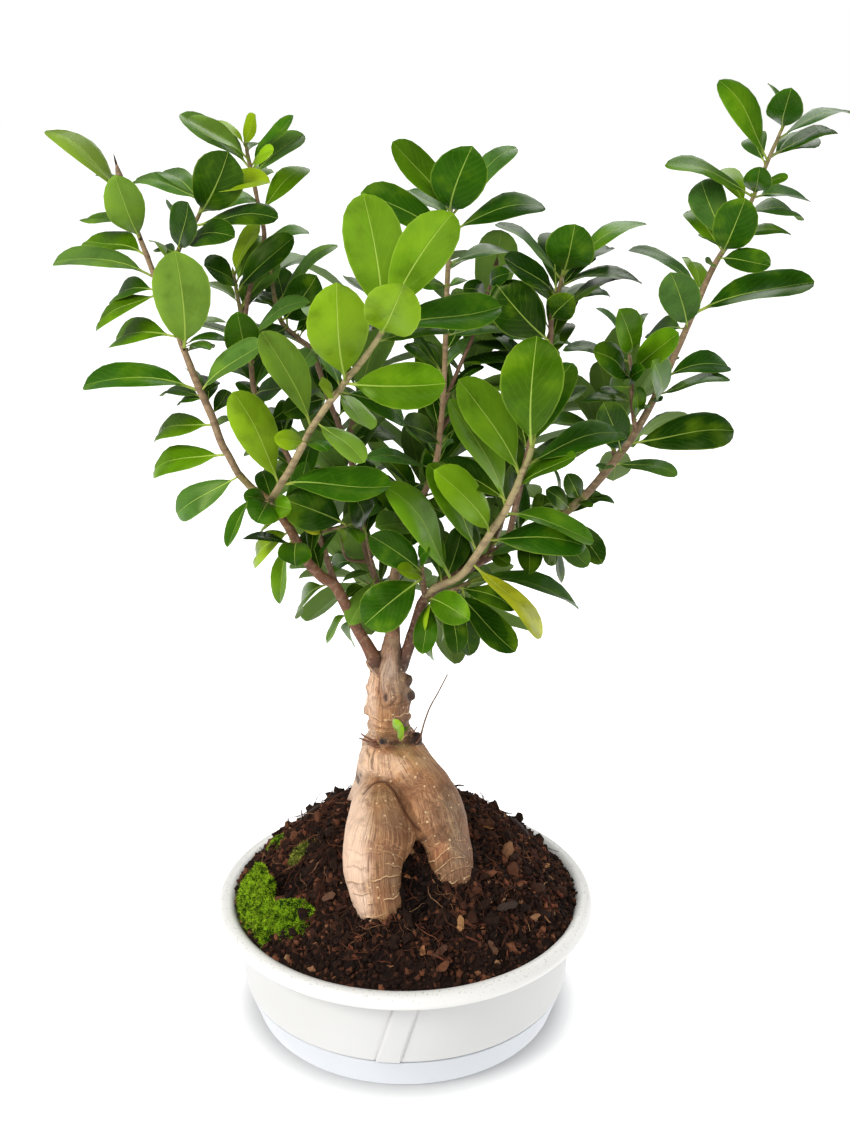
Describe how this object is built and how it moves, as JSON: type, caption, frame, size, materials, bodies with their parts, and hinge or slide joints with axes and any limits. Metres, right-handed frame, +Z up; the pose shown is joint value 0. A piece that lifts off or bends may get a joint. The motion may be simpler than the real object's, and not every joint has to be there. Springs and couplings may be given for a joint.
{
  "type": "ficus bonsai",
  "caption": "Ficus bonsai with a swollen forked rootstock and glossy leafy shoots, planted in mounded soil with moss in a round white pot on a drip saucer.",
  "frame": {"origin": "centre of the flat underside of the drip saucer, on the pot's axis", "axes": "+Z up, -Y towards the front seen in the picture, +X to the right seen from the front"},
  "size_m": [0.372, 0.2359, 0.4796],
  "materials": {
    "pot": "smooth warm white, soft shine",
    "saucer": "smooth cool white, soft shine",
    "soil": "loose dark peat, matt",
    "root_bark": "thin tan bark with pale cross lines, satin",
    "moss": "short dense moss, matt",
    "chips": "dry bark and wood chips, matt",
    "twig_bark": "smooth brown young bark, matt",
    "foliage": "thick glossy green leaves on brown twigs"
  },
  "bodies": {
    "root": {"drip_saucer": "saucer", "pot": "pot", "potting_soil": "soil", "rootstock": "root_bark", "moss_rim_cushion": "moss", "moss_inner_cushion": "moss", "moss_small_tuft": "moss", "moss_olive_tuft": "moss", "bark_chip_1": "chips", "bark_chip_2": "chips", "bark_chip_3": "chips", "bark_chip_4": "chips", "bark_chip_5": "chips", "bark_chip_6": "chips", "bark_chip_7": "chips", "bark_chip_8": "chips", "left_branch": "twig_bark", "right_branch": "twig_bark", "centre_shoot": "foliage", "left_leader": "foliage", "right_leader": "foliage", "left_front_shoot": "foliage", "right_front_shoot": "foliage", "left_back_shoot": "foliage", "left_top_shoot": "foliage", "left_twig_shoot": "foliage", "back_left_shoot": "foliage", "inner_front_shoot": "foliage", "lower_right_shoot": "foliage", "right_inner_shoot": "foliage", "centre_right_shoot": "foliage", "centre_small_shoot": "foliage", "rear_right_shoot": "foliage", "rear_centre_shoot": "foliage", "rear_left_shoot": "foliage", "rear_high_left_shoot": "foliage", "rear_high_right_shoot": "foliage", "rear_outer_right_shoot": "foliage", "rear_low_right_shoot": "foliage", "rear_low_left_shoot": "foliage", "graft_sprout": "foliage", "dry_stalk": "twig_bark"}
  },
  "joints": []
}
